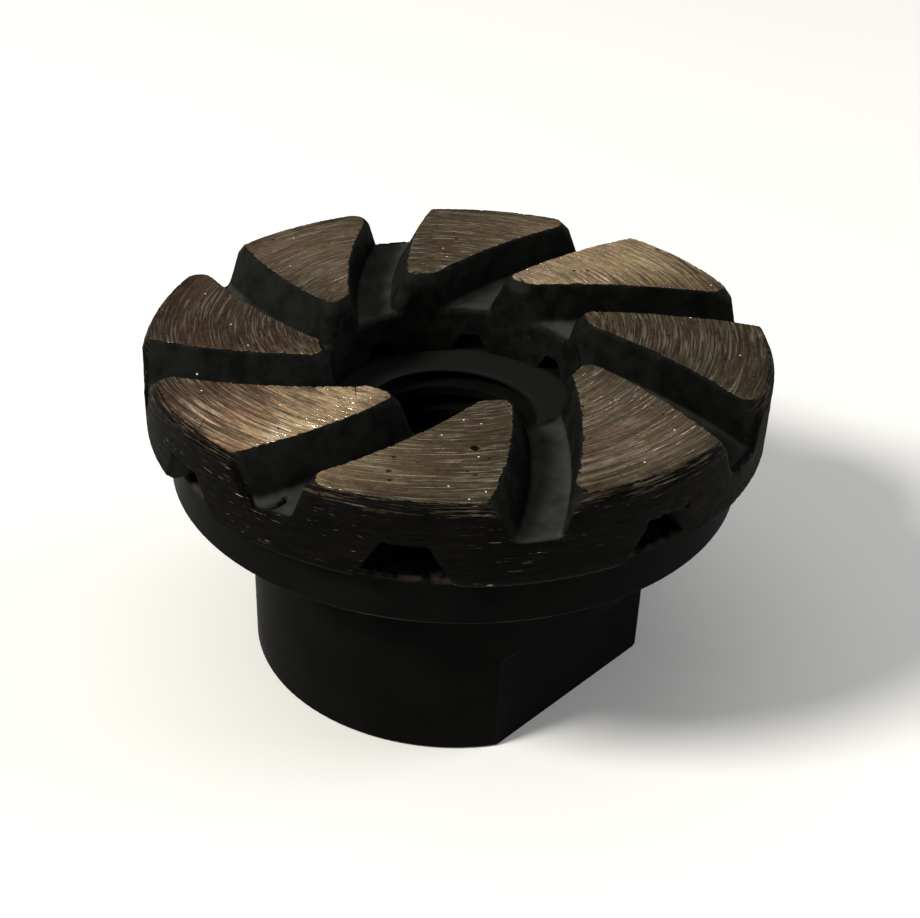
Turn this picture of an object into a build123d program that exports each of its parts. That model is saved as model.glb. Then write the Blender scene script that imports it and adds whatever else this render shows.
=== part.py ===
from build123d import *
from math import atan2, hypot, radians, tan
import os

# A two-inch cup for grinding concrete: a turned steel body that screws on a spindle,
# and a sintered diamond ring bonded on its flange. Millimetres, +Z towards the grinding face,
# origin in the middle of the hub's foot, flats facing -Y and +Y.

# Steel body
hub_radius = 17.15
hub_length = 18.05
flange_radius = 23.65
flange_thickness = 4.1
foot_bevel = 0.2
flange_bevel = 0.25

# Bore, at the crests of the 5/8 in thread of 11 turns to the inch
bore_radius = 6.85
bore_face_bevel = 0.5
bore_foot_bevel = 1.3

# Two flats for the spanner, cut up from the foot
flats_across = 28.7
flats_height = 10.1
flats_root_radius = 1.7

# Diamond ring, worn round at the rim and at the bore of its grinding face
ring_outer_radius = 25.4
ring_bore_radius = 10.55
ring_height = 7.4
ring_foot_bevel = 0.9
wear_depth = 0.8
rim_wear_width = 0.45
bore_wear_width = 0.5
face_edge_round = 0.15

# Curved grooves that part the segments, each swept round a centre outside the cup
groove_count = 8
groove_depth = 3.4
groove_width = 4.9
groove_draft = 17.5
groove_path_radius = 43.0
groove_axis_distance = 4.8
groove_turn = 16.3
groove_lean = 2.0

# Corners of a segment, on its hollow side and on its full side; the hollow one at the rim is worn rounder.
# They start as bevels on the groove's floor and turn round above it
rim_corner_hollow = 0.6
rim_corner_worn = 1.3
rim_corner_full = 0.5
tip_corner_hollow = 0.6
tip_corner_full = 0.95

# Notches under the ring, narrowing towards the axis until they meet its bore
notch_height = 3.9
notch_roof_width = 3.4
notch_draft = 31.0
notch_turn = 34.9

# Levels, angles and lengths that follow from the sizes above
flange_top = hub_length + flange_thickness
face_top = flange_top + ring_height
groove_floor = face_top - groove_depth
segment_pitch = 360 / groove_count
path_centre_distance = groove_path_radius - groove_axis_distance
draft_slope = tan(radians(groove_draft))
notch_slope = tan(radians(notch_draft))
# How far cutters reach past the faces they cut, so that they pass right through
overcut = 1.0

os.makedirs("parts", exist_ok=True)

# Steel body: half section turned round the axis
with BuildPart() as steel_body:
    with BuildSketch(Plane.XZ) as body_section:
        with BuildLine():
            Polyline(
                (bore_radius + bore_foot_bevel, 0),
                (hub_radius - foot_bevel, 0),
                (hub_radius, foot_bevel),
                (hub_radius, hub_length),
                (flange_radius - flange_bevel, hub_length),
                (flange_radius, hub_length + flange_bevel),
                (flange_radius, flange_top - flange_bevel),
                (flange_radius - flange_bevel, flange_top),
                (bore_radius + bore_face_bevel, flange_top),
                (bore_radius, flange_top - bore_face_bevel),
                (bore_radius, bore_foot_bevel),
                close=True,
            )
        make_face()
    revolve(axis=Axis.Z)

    # Each flat ends in a hollow of the cutter's corner radius
    with BuildSketch(Plane.YZ) as flat_section:
        with Locations((flats_across / 2, -overcut)):
            Rectangle(hub_radius, flats_height + overcut, align=(Align.MIN, Align.MIN))
        fillet(flat_section.vertices().group_by(Axis.Y)[-1].sort_by(Axis.X)[0], flats_root_radius)
        mirror(about=Plane.YZ)
    extrude(amount=hub_radius + overcut, both=True, mode=Mode.SUBTRACT)
steel_body.part.label = "steel_body"

# Outlines of one segment from the groove's floor up to the face:
# level, outer radius, bore radius, half the groove's width, lean of the groove,
# how corners are cut, hollow corner at the rim
wear_start = face_top - wear_depth
wear_share = wear_depth / groove_depth
half_face = groove_width / 2
half_wear = half_face - wear_depth * draft_slope
half_floor = half_face - groove_depth * draft_slope
corner_at_wear = rim_corner_worn + (rim_corner_hollow - rim_corner_worn) * wear_share
face_outer_radius = ring_outer_radius - rim_wear_width
face_bore_radius = ring_bore_radius + bore_wear_width
segment_levels = (
    (groove_floor, ring_outer_radius, ring_bore_radius, half_floor, groove_lean, chamfer, rim_corner_hollow),
    (wear_start, ring_outer_radius, ring_bore_radius, half_wear, groove_lean * wear_share, fillet, corner_at_wear),
    (face_top, face_outer_radius, face_bore_radius, half_face, 0, fillet, rim_corner_worn),
)
nearest_two = slice(0, 2)
farthest_two = slice(-2, None)

# One segment, between a groove centred on the X axis and the next one
with BuildPart() as segment:
    for level, rim_radius, bore, half_groove, lean, cut_corner, rim_corner in segment_levels:
        with BuildSketch(Plane.XY.offset(level)) as outline:
            Circle(rim_radius)
            Circle(bore, mode=Mode.SUBTRACT)
            with PolarLocations(path_centre_distance, 1, start_angle=lean):
                Circle(groove_path_radius + half_groove, mode=Mode.SUBTRACT)
            with PolarLocations(path_centre_distance, 1, start_angle=segment_pitch + lean):
                Circle(groove_path_radius - half_groove, mode=Mode.INTERSECT)
            with Locations((0, 0)):
                Rectangle(
                    2 * groove_path_radius,
                    ring_outer_radius + overcut,
                    align=(Align.CENTER, Align.MIN),
                    mode=Mode.INTERSECT,
                )
            # The two corners nearest the axis or farthest from it, first or last round it, size
            for pair, end, size in (
                (nearest_two, 0, tip_corner_hollow),
                (nearest_two, -1, tip_corner_full),
                (farthest_two, 0, rim_corner),
                (farthest_two, -1, rim_corner_full),
            ):
                by_radius = outline.vertices().sort_by(lambda corner: hypot(corner.X, corner.Y))
                cut_corner(by_radius[pair].sort_by(lambda corner: atan2(corner.Y, corner.X))[end], size)
    loft(ruled=True)
    fillet(segment.edges().group_by(Axis.Z)[-1], face_edge_round)

# One notch: a trapezoid that shrinks towards the axis
outer_share = 1 + overcut / ring_outer_radius
inner_share = ring_bore_radius / ring_outer_radius / 2
notch_half_roof = notch_roof_width / 2
notch_half_mouth = notch_half_roof + (notch_height + overcut) * notch_slope
with BuildPart() as notch:
    for share in (inner_share, outer_share):
        with BuildSketch(Plane((share * ring_outer_radius, 0, flange_top), x_dir=(0, 1, 0), z_dir=(1, 0, 0))):
            with BuildLine():
                Polyline(
                    (-share * notch_half_mouth, -share * overcut),
                    (share * notch_half_mouth, -share * overcut),
                    (share * notch_half_roof, share * notch_height),
                    (-share * notch_half_roof, share * notch_height),
                    close=True,
                )
            make_face()
    loft(ruled=True)

# Diamond ring: a turned base that carries the segments and is notched from below
with BuildPart() as diamond_ring:
    with BuildSketch(Plane.XZ) as base_section:
        with BuildLine():
            Polyline(
                (ring_bore_radius, flange_top),
                (ring_outer_radius - ring_foot_bevel, flange_top),
                (ring_outer_radius, flange_top + ring_foot_bevel),
                (ring_outer_radius, groove_floor),
                (ring_bore_radius, groove_floor),
                close=True,
            )
        make_face()
    revolve(axis=Axis.Z)

    with PolarLocations(0, groove_count, start_angle=groove_turn):
        add(segment.part)

    with PolarLocations(0, groove_count, start_angle=notch_turn):
        add(notch.part, mode=Mode.SUBTRACT)
diamond_ring.part.label = "diamond_ring"

export_step(steel_body.part, "parts/steel_body.step")
export_step(diamond_ring.part, "parts/diamond_ring.step")
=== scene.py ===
import math
from collections import namedtuple
from contextlib import contextmanager
from types import SimpleNamespace

import bmesh
import bpy
from mathutils import Matrix, Vector, noise
from mathutils.bvhtree import BVHTree


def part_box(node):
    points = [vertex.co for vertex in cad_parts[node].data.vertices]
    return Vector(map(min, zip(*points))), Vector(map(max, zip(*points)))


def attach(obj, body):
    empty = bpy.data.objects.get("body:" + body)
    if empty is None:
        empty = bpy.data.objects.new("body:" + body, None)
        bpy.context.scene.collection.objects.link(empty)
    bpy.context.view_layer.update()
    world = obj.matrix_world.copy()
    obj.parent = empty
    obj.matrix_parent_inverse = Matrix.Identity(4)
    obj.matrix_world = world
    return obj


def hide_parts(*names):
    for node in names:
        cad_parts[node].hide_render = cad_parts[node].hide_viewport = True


# A two-inch cup for grinding concrete, dressed for the photograph: the turned steel body gets its thread,
# and the sintered diamond ring gets the rough skin, nicked edges and ground faces of a cup that has worked.

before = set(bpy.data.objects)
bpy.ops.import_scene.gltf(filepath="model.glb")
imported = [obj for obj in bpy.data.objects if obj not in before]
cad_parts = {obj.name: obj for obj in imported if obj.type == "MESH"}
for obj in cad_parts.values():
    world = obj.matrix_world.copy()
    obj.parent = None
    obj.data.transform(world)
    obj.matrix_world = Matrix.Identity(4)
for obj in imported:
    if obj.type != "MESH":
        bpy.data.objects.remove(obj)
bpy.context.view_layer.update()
MM = 0.001

body_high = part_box("steel_body")[1]
ring_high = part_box("diamond_ring")[1]
face_top = ring_high.z
flange_top = body_high.z
flange_radius = body_high.x
ring_radius = ring_high.x

# Sizes that lie inside the solids' boxes, as the part has them
flange_thickness = 4.1 * MM
groove_depth = 3.4 * MM
ring_bore = 10.55 * MM
thread_crest = 6.85 * MM
flange_bottom = flange_top - flange_thickness
groove_floor = face_top - groove_depth

# Closer than this, two vertices are one
same_place = 1e-7
no_length = 1e-8

# The 5/8 in spindle thread with 11 turns to the inch, and how its cutter is wound
thread_root = 7.94 * MM
thread_pitch = 25.4 * MM / 11
thread_half_angle = math.radians(30)
root_half_flat = 0.13 * MM
cutter_overlap = 0.4 * MM
cutter_start = -0.89 * thread_pitch
cutter_turns = 11
steps_per_turn = 144

# Edges of the turned body, broken where they are sharp and outside the bore
sharp_edge = math.radians(28)
broken_edge = 0.07 * MM
outside_bore = 10 * MM

# Slivers that the thread's cut leaves, merged as far out as this from its roots
sliver = 0.03 * MM
sliver_reach = 0.3 * MM

# Fineness of the ring's mesh, and the share of its triangles that stays
voxel = 0.18 * MM
kept_share = 0.45

# How far a vertex stands out before it counts as an edge, wholly or in part, and how deep it lies in a foot;
# and how far above and below the grooves' floor the feet are rounded
edge_starts = 0.10
edge_whole = 0.25
foot_starts = -0.06
foot_reach = 0.4 * MM
foot_rows = 2
foot_sweeps = 9

# How the ring's skin wears: millimetres sunk all over, uneven relief, small nicks and large ones at the edges
skin_sunk = 0.010
skin_relief = 0.045
small_nick = 0.28
large_nick = 0.8

# A crescent-shaped chip in a groove's mouth, in millimetres from the axis. It lies round its centre on the
# side that chip_towards points to, is thin at its tips, and goes chip_reach above and below the floor
chip_centre = (-23.46, -3.46)
chip_towards = Vector((-0.66, -0.75))
chip_radius = 1.24
chip_depth = 0.50
chip_reach = 0.7
chip_tip = 0.05
chip_thin = 0.12
chip_swell = 0.20
chip_steepness = 1.6

# A pit in a ground face and a burr on a groove's edge, in the same millimetres
pit_centre = (-12.01, -13.02)
pit_radius = 0.26
pit_depth = 0.20
pit_reach = 0.1
burr_peak = Vector((9.75, 19.25, 29.2))
burr_reach = 0.42
burr_height = 0.34

# The spot that the last scratches turn round, in millimetres from the axis
scratch_centre = (0.2, 3.2)


def merged_copy(node):
    """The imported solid's mesh with its loose triangles joined, ready to be finished."""
    shape = bmesh.new()
    shape.from_mesh(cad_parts[node].data)
    bmesh.ops.remove_doubles(shape, verts=shape.verts, dist=same_place)
    bmesh.ops.dissolve_degenerate(shape, dist=no_length, edges=shape.edges)
    bmesh.ops.recalc_face_normals(shape, faces=shape.faces)
    return shape


def as_object(name, shape):
    """A bmesh put into the scene as an object."""
    mesh = bpy.data.meshes.new(name)
    shape.to_mesh(mesh)
    shape.free()
    piece = bpy.data.objects.new(name, mesh)
    bpy.context.scene.collection.objects.link(piece)
    return piece


@contextmanager
def opened(piece):
    """A piece's mesh opened for changes, which it keeps."""
    shape = bmesh.new()
    shape.from_mesh(piece.data)
    yield shape
    shape.to_mesh(piece.data)
    shape.free()


def settle(piece):
    """Applies a piece's modifiers to its mesh."""
    bpy.context.view_layer.update()
    view = bpy.context.evaluated_depsgraph_get()
    mesh = bpy.data.meshes.new_from_object(piece.evaluated_get(view))
    piece.modifiers.clear()
    piece.data = mesh


def paint(piece, material):
    """Gives a piece its one material."""
    piece.data.materials.clear()
    piece.data.materials.append(material)


def from_axis(place):
    """How far a place is from the axis."""
    return math.hypot(place.x, place.y)


def middle(edge):
    """The middle of an edge."""
    return (edge.verts[0].co + edge.verts[1].co) / 2


def paired_edges(shape):
    """The edges with a face on either side."""
    return [edge for edge in shape.edges if len(edge.link_faces) == 2]


def soften(piece, angle):
    """Smooth shading that stays crisp at edges sharper than the angle and even across flats."""
    piece.data.shade_smooth()
    piece.data.set_sharp_from_angle(angle=math.radians(angle))
    even = piece.modifiers.new("even_shading", "WEIGHTED_NORMAL")
    even.mode = "FACE_AREA"
    even.weight = 60
    even.keep_sharp = True


def crisp_thread(piece):
    """Keeps the thread's flanks apart from its crests and roots in the shading."""
    flank_slope = 0.6
    past_root = thread_root + 0.1 * MM
    with opened(piece) as shape:
        for edge in paired_edges(shape):
            if from_axis(middle(edge)) < past_root:
                flanks = [abs(face.normal.z) > flank_slope for face in edge.link_faces]
                edge.smooth = flanks[0] == flanks[1]


def crisp_faces(piece):
    """Keeps the flat ground faces apart from their rounded and nicked edges in the shading."""
    tilted = 0.985
    level = 0.9995
    under_face = face_top - 0.05 * MM
    with opened(piece) as shape:
        for edge in paired_edges(shape):
            if min(vert.co.z for vert in edge.verts) > under_face:
                lower, upper = sorted(face.normal.z for face in edge.link_faces)
                if lower < tilted and upper > level:
                    edge.smooth = False


def thread_vee():
    """The vee of the thread, wound up the bore, to be cut out of the steel."""
    vee = bmesh.new()
    inner = thread_crest - cutter_overlap
    reach = root_half_flat + (thread_root - inner) * math.tan(thread_half_angle)
    corners = (
        (inner, -reach),
        (thread_root, -root_half_flat),
        (thread_root, root_half_flat),
        (inner, reach),
    )
    vee.faces.new([vee.verts.new((x, 0, z)) for x, z in corners])
    for corner in vee.verts:
        corner.co.z += cutter_start
    bmesh.ops.spin(vee, geom=vee.verts[:] + vee.edges[:] + vee.faces[:], cent=(0, 0, 0), axis=(0, 0, 1),
                   dvec=(0, 0, thread_pitch / steps_per_turn), angle=2 * math.pi * cutter_turns,
                   steps=steps_per_turn * cutter_turns)
    bmesh.ops.remove_doubles(vee, verts=vee.verts, dist=same_place)
    bmesh.ops.recalc_face_normals(vee, faces=vee.faces)
    return as_object("thread_vee", vee)


def threaded_body():
    """The steel body with its sharp turned edges broken and the thread cut in its bore."""
    shape = merged_copy("steel_body")
    outer = [edge for edge in paired_edges(shape)
             if edge.calc_face_angle(0) > sharp_edge and from_axis(middle(edge)) > outside_bore]
    bmesh.ops.bevel(shape, geom=outer, offset=broken_edge, offset_type="OFFSET", segments=2, profile=0.5,
                    material=-1, affect="EDGES", clamp_overlap=True)
    body = as_object("threaded_body", shape)
    vee = thread_vee()
    cut = body.modifiers.new("thread", "BOOLEAN")
    cut.operation = "DIFFERENCE"
    cut.solver = "EXACT"
    cut.object = vee
    settle(body)
    bpy.data.objects.remove(vee)
    with opened(body) as shape:
        in_bore = [vert for vert in shape.verts if from_axis(vert.co) < thread_root + sliver_reach]
        bmesh.ops.remove_doubles(shape, verts=in_bore, dist=sliver)
        bmesh.ops.dissolve_degenerate(shape, dist=same_place, edges=shape.edges)
    soften(body, angle=32)
    crisp_thread(body)
    return body


def edge_feel(shape):
    """How far each vertex stands out from its neighbours, in shares of their distance; below 0 in hollows."""
    feel = {}
    for vert in shape.verts:
        others = Vector()
        reach = 0.0
        for edge in vert.link_edges:
            other = edge.other_vert(vert)
            others += other.co
            reach += (other.co - vert.co).length
        count = len(vert.link_edges)
        feel[vert] = (vert.co - others / count).dot(vert.normal) / (reach / count)
    return feel


def hollow_foot(shape):
    """Rounds the foot of every groove, where its walls run into its floor."""
    shape.normal_update()
    feel = edge_feel(shape)
    near = {vert for vert in shape.verts
            if feel[vert] < foot_starts and abs(vert.co.z - groove_floor) < foot_reach}
    for _ in range(foot_rows):
        near.update([edge.other_vert(vert) for vert in near for edge in vert.link_edges])
    for _ in range(foot_sweeps):
        bmesh.ops.smooth_vert(shape, verts=list(near), factor=0.5,
                              use_axis_x=True, use_axis_y=True, use_axis_z=True)


def struck(place):
    """Millimetres lost at a place to the marks that stand out, the chip and the pit."""
    from_chip = Vector((place.x - chip_centre[0], place.y - chip_centre[1]))
    facing = from_chip.normalized().dot(chip_towards) - chip_tip
    if abs(place.z - groove_floor / MM) < chip_reach and facing > 0:
        across = abs(from_chip.length - chip_radius) / (chip_thin + chip_swell * facing)
        return chip_depth * max(0.0, min(1.0, chip_steepness * (1.0 - across)))
    from_pit = math.hypot(place.x - pit_centre[0], place.y - pit_centre[1])
    if place.z > face_top / MM - pit_reach and from_pit < pit_radius:
        return pit_depth * (1.0 - (from_pit / pit_radius) ** 2)
    return 0.0


def burr(place):
    """Millimetres that the burr stands out at a place."""
    return burr_height * max(0.0, 1.0 - (place - burr_peak).length / burr_reach)


def relief(place):
    """Rough relief from 0 to 1 at a place."""
    scale, fall, gap, layers = 1.3, 0.9, 2.1, 4
    return 0.5 + 0.5 * noise.fractal(place * scale, fall, gap, layers)


def peak(place, scale, shift, start):
    """How far noise stands out above its start at a place; the shift tells one noise from another."""
    return max(0.0, noise.noise(place * scale + Vector(shift)) - start)


def roughen(shape):
    """Sinks the skin unevenly, nicks the edges, and leaves the ground faces flat."""
    neighbour_share = 0.7
    side_slope = 0.9
    below_face = face_top - 0.3 * MM
    level_slope = 0.97
    on_face = face_top - 0.02 * MM
    shape.normal_update()
    feel = edge_feel(shape)
    moves = []
    for vert in shape.verts:
        place = vert.co / MM
        beside = [neighbour_share * feel[edge.other_vert(vert)] for edge in vert.link_edges]
        stands_out = max([feel[vert]] + beside)
        depth = skin_sunk
        if vert.normal.z < side_slope or vert.co.z < below_face:
            depth += skin_relief * relief(place)
        if stands_out > edge_starts and vert.co.z > groove_floor - foot_reach:
            small = small_nick * peak(place, scale=2.3, shift=(9, 4, 2), start=0.05)
            large = large_nick * peak(place, scale=0.7, shift=(3, 7, 5), start=0.38)
            depth += min(1.0, stands_out / edge_whole) * (small + large)
        depth -= burr(place)
        moves.append(vert.normal * (-depth * MM))
    for vert, move in zip(shape.verts, moves):
        ground = vert.normal.z > level_slope and vert.co.z > on_face
        lost = struck(vert.co / MM) * MM
        vert.co += move
        vert.co.z = face_top - skin_sunk * MM if ground else min(max(vert.co.z, flange_top), face_top)
        vert.co.z -= lost


def worn_ring():
    """The diamond ring with hollowed grooves, a rough skin and nicked edges, its mesh thinned where flat."""
    solid = merged_copy("diamond_ring")
    surface = BVHTree.FromBMesh(solid)
    ring = as_object("worn_ring", solid)
    even = ring.modifiers.new("even", "REMESH")
    even.mode = "VOXEL"
    even.voxel_size = voxel
    settle(ring)
    with opened(ring) as shape:
        for vert in shape.verts:
            vert.co = surface.find_nearest(vert.co)[0]
        hollow_foot(shape)
        roughen(shape)
    thin = ring.modifiers.new("thin", "DECIMATE")
    thin.ratio = kept_share
    settle(ring)
    soften(ring, angle=38)
    crisp_faces(ring)
    return ring


# What a material knows of a spot, in millimetres: its place, x, y and z, and how far it is from the centre
Spot = namedtuple("Spot", "place x y z away")


class Finish:
    """A material that is put together node by node."""

    def __init__(self, name):
        self.material = bpy.data.materials.new(name)
        self.material.use_nodes = True
        self.tree = self.material.node_tree

    def feed(self, socket, value):
        """Links a socket to another node's output, or sets it to a number, a vector or a colour."""
        if isinstance(value, bpy.types.NodeSocket):
            self.tree.links.new(value, socket)
        elif socket.type == "RGBA":
            socket.default_value = (*value, 1.0)
        else:
            socket.default_value = value

    def feed_all(self, node, values):
        """Feeds a node's sockets, by their names or numbers or else in their order."""
        for key, value in values.items() if isinstance(values, dict) else enumerate(values):
            self.feed(node.inputs[key], value)

    def put(self, kind, values=(), **settings):
        """A new node with its settings and what its sockets are fed."""
        made = self.tree.nodes.new(kind)
        for key, setting in settings.items():
            setattr(made, key, setting)
        self.feed_all(made, values)
        return made

    def cover(self, values):
        """Feeds the shader itself and gives the finished material."""
        self.feed_all(self.tree.nodes["Principled BSDF"], values)
        return self.material

    def math(self, operation, *values, clamp=False):
        """One step of arithmetic."""
        return self.put("ShaderNodeMath", values, operation=operation, use_clamp=clamp).outputs[0]

    def times(self, product, *others):
        """Values multiplied with one another."""
        for other in others:
            product = self.math("MULTIPLY", product, other)
        return product

    def step(self, value, low, high, to_low=0.0, to_high=1.0):
        """Goes smoothly from to_low to to_high while the value goes from low to high."""
        sockets = {"Value": value, "From Min": low, "From Max": high, "To Min": to_low, "To Max": to_high}
        return self.put("ShaderNodeMapRange", sockets, interpolation_type="SMOOTHSTEP").outputs["Result"]

    def vector(self, x, y, z):
        """A vector of three values."""
        return self.put("ShaderNodeCombineXYZ", (x, y, z)).outputs[0]

    def split(self, vector):
        """The three values of a vector."""
        return self.put("ShaderNodeSeparateXYZ", (vector,)).outputs

    def noise(self, where, scale, detail, rough=0.55):
        """Cloudy noise from 0 to 1; the scale says how many waves it has to a unit."""
        sockets = {"Vector": where, "Scale": scale, "Detail": detail, "Roughness": rough}
        return self.put("ShaderNodeTexNoise", sockets).outputs["Fac"]

    def cells(self, where, scale):
        """Points strewn about: how far off the nearest one is, and three chance values of its own."""
        made = self.put("ShaderNodeTexVoronoi", {"Vector": where, "Scale": scale}, feature="F1")
        return made.outputs["Distance"], self.split(made.outputs["Color"])

    def blend(self, share, first, second):
        """The first colour with a share of the second over it."""
        return self.put("ShaderNodeMix", {0: share, 6: first, 7: second}, data_type="RGBA").outputs[2]

    def mix(self, share, first, second):
        """The first number with a share of the second over it."""
        return self.put("ShaderNodeMix", {0: share, 2: first, 3: second}, data_type="FLOAT").outputs[0]

    def bump(self, height, strength, distance, under=None):
        """The shading of a relief, over that of a coarser one where there is one under it."""
        sockets = {"Height": height, "Strength": strength, "Distance": distance}
        if under is not None:
            sockets["Normal"] = under
        return self.put("ShaderNodeBump", sockets).outputs[0]

    def places(self, centre=(0.0, 0.0)):
        """The spot being shaded, from the axis or from another centre."""
        metres = self.put("ShaderNodeTexCoord").outputs["Object"]
        sockets = (metres, (1 / MM, 1 / MM, 1 / MM), (-centre[0], -centre[1], 0))
        place = self.put("ShaderNodeVectorMath", sockets, operation="MULTIPLY_ADD").outputs[0]
        x, y, z = self.split(place)
        away = self.put("ShaderNodeVectorMath", (self.vector(x, y, 0.0),), operation="LENGTH")
        return Spot(place, x, y, z, away.outputs["Value"])

    def bent(self, where, scale, reach):
        """A place pushed about by noise, so that what is drawn there loses its even shape."""
        pushes = self.put("ShaderNodeTexNoise", {"Vector": where, "Scale": scale}).outputs["Color"]
        sockets = (pushes, (reach, reach, reach), where)
        return self.put("ShaderNodeVectorMath", sockets, operation="MULTIPLY_ADD").outputs[0]

    def rings(self, spot, round_scale, across_scale, detail, rough=0.6):
        """Noise drawn out round a centre, as a turning tool or a grinding pass leaves it."""
        where = self.vector(
            self.times(self.math("DIVIDE", spot.x, spot.away), round_scale),
            self.times(self.math("DIVIDE", spot.y, spot.away), round_scale),
            self.times(self.math("SUBTRACT", spot.away, spot.z), across_scale),
        )
        return self.noise(where, 1.0, detail, rough)


def blackened_steel():
    """Turned steel with a smooth black finish, worn bright along the flange's lower edge."""
    deep_black = (0.0030, 0.0030, 0.0030)
    soft_black = (0.0046, 0.0045, 0.0043)
    bare_steel = (0.040, 0.038, 0.034)
    braze_brown = (0.034, 0.026, 0.022)
    # The paler grey round the bore is painted light
    lit_bore_grey = (0.0105, 0.0105, 0.0100)
    rim, top, bore = flange_radius / MM, flange_top / MM, ring_bore / MM
    make = Finish("blackened_steel")
    spot = make.places()
    cloud = make.noise(spot.place, scale=0.22, detail=4.0)
    black = make.blend(make.step(cloud, 0.3, 0.7), deep_black, soft_black)

    # Bare metal along the flange's lower edge
    off_edge = make.math("ABSOLUTE", make.math("SUBTRACT", spot.z, flange_bottom / MM + 0.1))
    rubbed = make.times(
        make.step(off_edge, 0.05, 0.24, 1.0, 0.0),
        make.step(spot.away, rim - 0.32, rim - 0.12),
        make.step(make.rings(spot, round_scale=5.0, across_scale=1.0, detail=4.0), 0.40, 0.62),
    )
    black = make.blend(rubbed, black, bare_steel)

    # Braze left on the flange where the notches lay it open, and a paler band round the bore, painted light
    # where the flange top inside the ring is lit
    on_top = make.step(spot.z, top - 0.5, top - 0.05)
    under_ring = make.step(spot.away, bore + 4, bore + 9)
    stained = make.step(make.noise(spot.place, scale=0.9, detail=3.0), 0.36, 0.6)
    black = make.blend(make.times(on_top, under_ring, stained), black, braze_brown)
    lit_round_bore = make.times(on_top, make.step(spot.away, bore + 0.6, bore + 0.1))
    black = make.blend(lit_round_bore, black, lit_bore_grey)

    fine = make.noise(spot.place, scale=6.0, detail=3.0)
    turned = make.rings(spot, round_scale=1.2, across_scale=5.0, detail=3.0)
    height = make.math("ADD", make.times(fine, 0.5), make.times(turned, 0.5))
    return make.cover({
        "Base Color": black,
        "Roughness": make.mix(rubbed, make.step(cloud, 0.25, 0.75, 0.40, 0.50), 0.36),
        "Specular IOR Level": 0.008,
        "Normal": make.bump(height, strength=0.35, distance=0.02 * MM),
    })


def ring_marks(make):
    """The patterns that the ring's colours, gloss and relief share."""
    spot = make.places()
    skewed = make.places(scratch_centre)
    fine_rings = make.rings(spot, round_scale=4.6, across_scale=6.0, detail=3.0, rough=0.7)
    skew_rings = make.rings(skewed, round_scale=4.3, across_scale=5.0, detail=3.0, rough=0.7)
    cut_rings = make.rings(skewed, round_scale=4.4, across_scale=6.4, detail=2.0)
    pore_off, pore_kind = make.cells(make.bent(spot.place, scale=1.8, reach=0.35), scale=1.25)
    pore_size = make.times(make.math("POWER", pore_kind[0], 2.0), 0.24)
    in_pore = make.math("LESS_THAN", pore_off, pore_size)
    grit_off, grit_kind = make.cells(spot.place, scale=1.05)
    in_grit = make.math("LESS_THAN", grit_off, 0.078)
    return SimpleNamespace(
        spot=spot,
        cloud=make.noise(spot.place, scale=0.16, detail=3.0),
        patch=make.noise(spot.place, scale=0.55, detail=4.0),
        grain=make.noise(spot.place, scale=5.5, detail=4.0, rough=0.65),
        streak=make.rings(spot, round_scale=9.0, across_scale=6.5, detail=3.0, rough=0.62),
        skew_rings=skew_rings,
        scratches=make.math("ADD", make.times(fine_rings, 0.4), make.times(skew_rings, 0.6)),
        bright_cut=make.step(cut_rings, 0.57, 0.63),
        pore=make.times(in_pore, make.math("GREATER_THAN", pore_kind[1], 0.58)),
        grit=make.times(in_grit, make.math("GREATER_THAN", grit_kind[2], 0.975)),
        # How far a spot lies towards the window lamp's side; the ring's painted light and painted shade
        # follow it
        towards_lamp_side=make.times(make.math("SUBTRACT", spot.y, spot.x), 0.035),
    )


def ground_share(make, marks):
    """How bright a spot is ground: all of the face, and in streaks over the worn rim."""
    spot, top, rim = marks.spot, face_top / MM, ring_radius / MM
    ragged = make.times(make.math("SUBTRACT", marks.grain, 0.5), 0.05)
    at_top = make.step(make.math("ADD", spot.z, ragged), top - 0.055, top - 0.025)
    upright = make.split(make.put("ShaderNodeTexCoord").outputs["Normal"])[2]
    face = make.times(at_top, make.step(upright, 0.955, 0.995))
    limit = make.step(make.math("SUBTRACT", top, spot.z), 0.05, 2.0, 0.50, 0.655)
    streaked = make.step(make.math("SUBTRACT", marks.streak, limit), 0.0, 0.10)
    at_rim = make.step(spot.away, rim - 1.1, rim - 0.4)
    return make.math("MAXIMUM", face, make.times(streaked, at_rim, 0.7))


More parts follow.
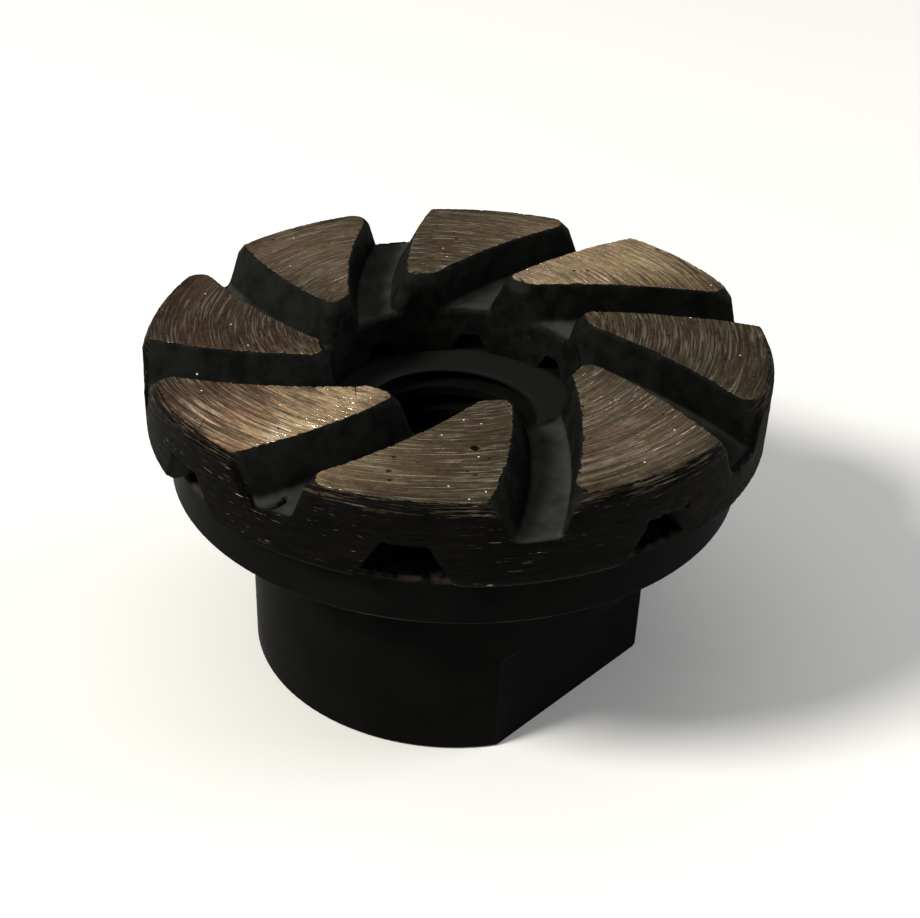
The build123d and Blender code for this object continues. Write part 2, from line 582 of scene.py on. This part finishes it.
def ground_colour(make, marks):
    """Ground metal, painted redder towards the window lamp's side as warm light, with dark drags, pale rubs,
    bright cuts and small open pores painted black as shade.
    """
    plain_gold = (0.214, 0.158, 0.086)
    warm_gold = (0.285, 0.158, 0.094)
    red_patch = (0.215, 0.133, 0.093)
    green_patch = (0.190, 0.163, 0.086)
    brown_mottle = (0.095, 0.071, 0.048)
    pale_mottle = (0.38, 0.31, 0.21)
    dull_brown = (0.044, 0.032, 0.022)
    wide_rub = (0.40, 0.33, 0.22)
    cut_metal = (0.70, 0.60, 0.43)
    rim_brown = (0.045, 0.032, 0.022)
    pale_rub = (0.52, 0.46, 0.38)
    pore_shade_black = (0.012, 0.009, 0.008)
    spot, rim = marks.spot, ring_radius / MM

    # Tints from wide to small
    # Redder towards the window lamp's side: painted warm light
    warm = make.step(make.math("ADD", marks.towards_lamp_side, marks.cloud), 0.9, 1.6)
    gold = make.blend(warm, plain_gold, warm_gold)
    gold = make.blend(make.step(marks.patch, 0.42, 0.62, 0.0, 0.6), gold, red_patch)
    gold = make.blend(make.step(marks.patch, 0.30, 0.44, 0.55, 0.0), gold, green_patch)
    mottle = make.noise(make.bent(spot.place, scale=0.8, reach=0.6), scale=1.9, detail=4.0, rough=0.62)
    gold = make.blend(make.step(mottle, 0.48, 0.68, 0.0, 0.55), gold, brown_mottle)
    gold = make.blend(make.step(mottle, 0.30, 0.46, 0.35, 0.0), gold, pale_mottle)

    # Scratches, wide rubs and bright cuts
    dull = make.blend(0.54, gold, dull_brown)
    gold = make.blend(make.step(marks.scratches, 0.44, 0.56), dull, gold)
    wide_rings = make.rings(spot, round_scale=3.2, across_scale=2.0, detail=3.0)
    gold = make.blend(make.step(wide_rings, 0.54, 0.70, 0.0, 0.35), gold, wide_rub)
    gold = make.blend(make.times(marks.bright_cut, 0.62), gold, cut_metal)

    # Fading into the rim, pale rubs, and pores painted black as the shade in their holes
    to_rim = make.step(spot.away, rim - 2.6, rim - 0.4)
    fading = make.times(to_rim, make.step(make.math("ADD", marks.patch, marks.streak), 0.82, 1.12), 0.75)
    gold = make.blend(fading, gold, rim_brown)
    rubbed = make.step(make.noise(spot.place, scale=0.33, detail=2.0), 0.54, 0.66)
    pale = make.times(rubbed, make.step(marks.skew_rings, 0.50, 0.62), 0.5)
    gold = make.blend(pale, gold, pale_rub)
    return make.blend(make.times(marks.pore, 0.85), gold, pore_shade_black)


def mould_colour(make, marks):
    """Sides and grooves as they came from the mould: streaked outer wall with painted glints, dark groove
    walls with painted shade away from the lamp, and dusty floors lightened as painted light.
    """
    wall_dark = (0.0042, 0.0044, 0.0040)
    wall_grey = (0.0095, 0.0096, 0.0086)
    shade_bluish = (0.0016, 0.0017, 0.0018)
    outer_dark = (0.0010, 0.0010, 0.0009)
    outer_brown = (0.0034, 0.0030, 0.0023)
    glint_gold = (0.21, 0.178, 0.118)
    dust_and_light_dark = (0.024, 0.0255, 0.0225)
    dust_and_light_pale = (0.042, 0.043, 0.039)
    spot, floor, rim, bore = marks.spot, groove_floor / MM, ring_radius / MM, ring_bore / MM
    dark = make.blend(make.step(marks.patch, 0.35, 0.65), wall_dark, wall_grey)
    # Darker and bluer away from the window lamp: painted shade
    dark = make.blend(make.step(marks.towards_lamp_side, -0.95, -0.35, 0.55, 0.0), dark, shade_bluish)

    # Outer wall, with flecks of bare metal painted bright as glints
    drawn_rings = make.rings(spot, round_scale=7.0, across_scale=3.6, detail=5.0, rough=0.68)
    drawn = make.math("MULTIPLY_ADD", marks.patch, 0.35, drawn_rings)
    outer = make.blend(make.step(drawn, 0.56, 0.84), outer_dark, outer_brown)
    glint_rings = make.rings(spot, round_scale=14.0, across_scale=7.5, detail=2.0)
    painted_glints = make.times(make.step(glint_rings, 0.68, 0.73), make.step(marks.cloud, 0.47, 0.61))
    outer = make.blend(painted_glints, outer, glint_gold)
    dark = make.blend(make.step(spot.away, rim - 0.7, rim - 0.35), dark, outer)

    # Dust on the grooves' floors, lightened as painted light where the floors are lit, and thinned towards
    # the side away from the window lamp as painted shade
    floor_dust_and_light = make.times(
        make.step(spot.z, floor + 0.45, floor + 0.02),
        make.step(spot.z, floor - 0.4, floor - 0.15),
        make.step(spot.away, bore + 0.25, bore + 0.9),
        make.step(spot.away, rim - 0.8, rim - 0.35, 1.0, 0.0),
        make.step(marks.towards_lamp_side, -1.0, -0.6, 0.25, 1.0),
        0.85,
    )
    return make.blend(floor_dust_and_light, dark, make.blend(make.step(marks.patch, 0.3, 0.7), dust_and_light_dark, dust_and_light_pale))


def diamond_metal():
    """Sintered metal: ground brown-gold faces, near black sides, grey groove floors and bright grit."""
    grit_white = (0.75, 0.74, 0.68)
    make = Finish("diamond_metal")
    marks = ring_marks(make)
    spot = marks.spot
    ground = ground_share(make, marks)
    colour = make.blend(ground, mould_colour(make, marks), ground_colour(make, marks))

    # Rough between the scratches and in the pores, glossy where a cut is fresh
    worn_rough = make.step(marks.scratches, 0.42, 0.60, 0.74, 0.57)
    pored_rough = make.math("ADD", worn_rough, make.times(marks.pore, 0.3))
    ground_rough = make.mix(marks.bright_cut, pored_rough, 0.18)

    lines = make.times(marks.scratches, make.mix(ground, 0.15, 1.0))
    pitted = make.math("SUBTRACT", make.times(marks.grain, make.mix(ground, 1.0, 0.25)), marks.pore)
    pits = make.bump(pitted, strength=0.5, distance=0.06 * MM)

    # Every scratch runs off the round by an angle of its own, so each one gleams in a place of its own
    stray_range = 1.4
    stray_shift = -0.52
    astray = make.math("MULTIPLY_ADD", marks.skew_rings, stray_range, stray_shift)
    across_x = make.math("SUBTRACT", spot.x, make.times(spot.y, astray))
    across_y = make.math("MULTIPLY_ADD", spot.x, astray, spot.y)
    return make.cover({
        "Base Color": make.blend(marks.grit, colour, grit_white),
        "Metallic": make.math("SUBTRACT", ground, marks.grit, clamp=True),
        "Roughness": make.mix(ground, 0.62, ground_rough),
        "Specular IOR Level": 0.035,
        "Anisotropic": 0.85,
        "Normal": make.bump(lines, strength=0.9, distance=0.26 * MM, under=pits),
        "Tangent": make.vector(across_x, across_y, 0.0),
    })


def towards(azimuth, elevation):
    """The direction at so many degrees round the axis and above the floor."""
    turn, rise = math.radians(azimuth), math.radians(elevation)
    return Vector((math.cos(rise) * math.cos(turn), math.cos(rise) * math.sin(turn), math.sin(rise)))


def pale_floor():
    """A wide, plain and pale floor."""
    ground = bmesh.new()
    bmesh.ops.create_grid(ground, x_segments=1, y_segments=1, size=1.5)
    floor = as_object("studio_floor", ground)
    floor_grey = (0.86, 0.86, 0.86)
    floor_white = (0.90, 0.90, 0.89)
    make = Finish("pale_floor")
    cloud = make.noise(make.places().place, scale=0.004, detail=2.0)
    paint(floor, make.cover({
        "Base Color": make.blend(cloud, floor_grey, floor_white),
        "Roughness": 0.9,
        "Specular IOR Level": 0.1,
    }))


def room_air():
    """A little light from all round."""
    world = bpy.data.worlds.new("studio_air")
    world.use_nodes = True
    colour, strength = world.node_tree.nodes["Background"].inputs[:2]
    colour.default_value = (1.0, 0.985, 0.96, 1.0)
    strength.default_value = 0.225
    bpy.context.scene.world = world


def lamp(name, azimuth, elevation, distance, size, watts, tint):
    """A round soft lamp turned towards the part."""
    light = bpy.data.lights.new(name, "AREA")
    light.shape = "DISK"
    light.size = size
    light.energy = watts
    light.color = tint
    piece = bpy.data.objects.new(name, light)
    aim = Vector((0, 0, 20 * MM))
    out = towards(azimuth, elevation)
    turn = out.to_track_quat("Z", "Y").to_matrix().to_4x4()
    piece.matrix_world = Matrix.Translation(aim + out * distance) @ turn
    bpy.context.scene.collection.objects.link(piece)


def photo_camera():
    """A camera where the photograph was taken, with its picture cut a little off centre."""
    azimuth = -134.20
    elevation = 33.48
    roll = math.radians(-0.18)
    aim = Vector((0, 0, 22.0 * MM))
    to_right = -7.76 * MM
    to_top = -6.33 * MM
    distance = 130.43 * MM
    picture_width = 920
    focal_pixels = 1558.2
    pixels_right = 100
    pixels_up = 29
    film_width = 36.0

    away = towards(azimuth, elevation)
    level_right = Vector((0, 0, 1)).cross(away).normalized()
    level_up = away.cross(level_right)
    right = math.cos(roll) * level_right + math.sin(roll) * level_up
    up = -math.sin(roll) * level_right + math.cos(roll) * level_up
    stand = aim + right * to_right + up * to_top + away * distance
    lens = bpy.data.cameras.new("photo_camera")
    lens.sensor_width = film_width
    lens.lens = focal_pixels * film_width / picture_width
    lens.shift_x = pixels_right / picture_width
    lens.shift_y = pixels_up / picture_width
    lens.clip_start = 0.01
    camera = bpy.data.objects.new("photo_camera", lens)
    camera.matrix_world = Matrix.Translation(stand) @ Matrix((right, up, away)).transposed().to_4x4()
    bpy.context.scene.collection.objects.link(camera)
    bpy.context.scene.camera = camera


def studio():
    """A pale floor, a soft light from the left, a wide one overhead, a weak one from the right, a camera."""
    bpy.context.scene.view_settings.view_transform = "Standard"
    pale_floor()
    room_air()
    lamp("window", azimuth=158, elevation=43, distance=0.95, size=0.25, watts=10.5, tint=(1.0, 0.97, 0.89))
    lamp("overhead", azimuth=100, elevation=80, distance=1.1, size=1.1, watts=2.2, tint=(1.0, 0.99, 0.97))
    lamp("fill", azimuth=-35, elevation=22, distance=0.95, size=0.6, watts=4.0, tint=(0.98, 0.99, 1.0))
    photo_camera()


studio()
steel = blackened_steel()
metal = diamond_metal()

body = threaded_body()
paint(body, steel)
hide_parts("steel_body")
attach(body, "root")

ring = worn_ring()
paint(ring, metal)
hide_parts("diamond_ring")
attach(ring, "root")
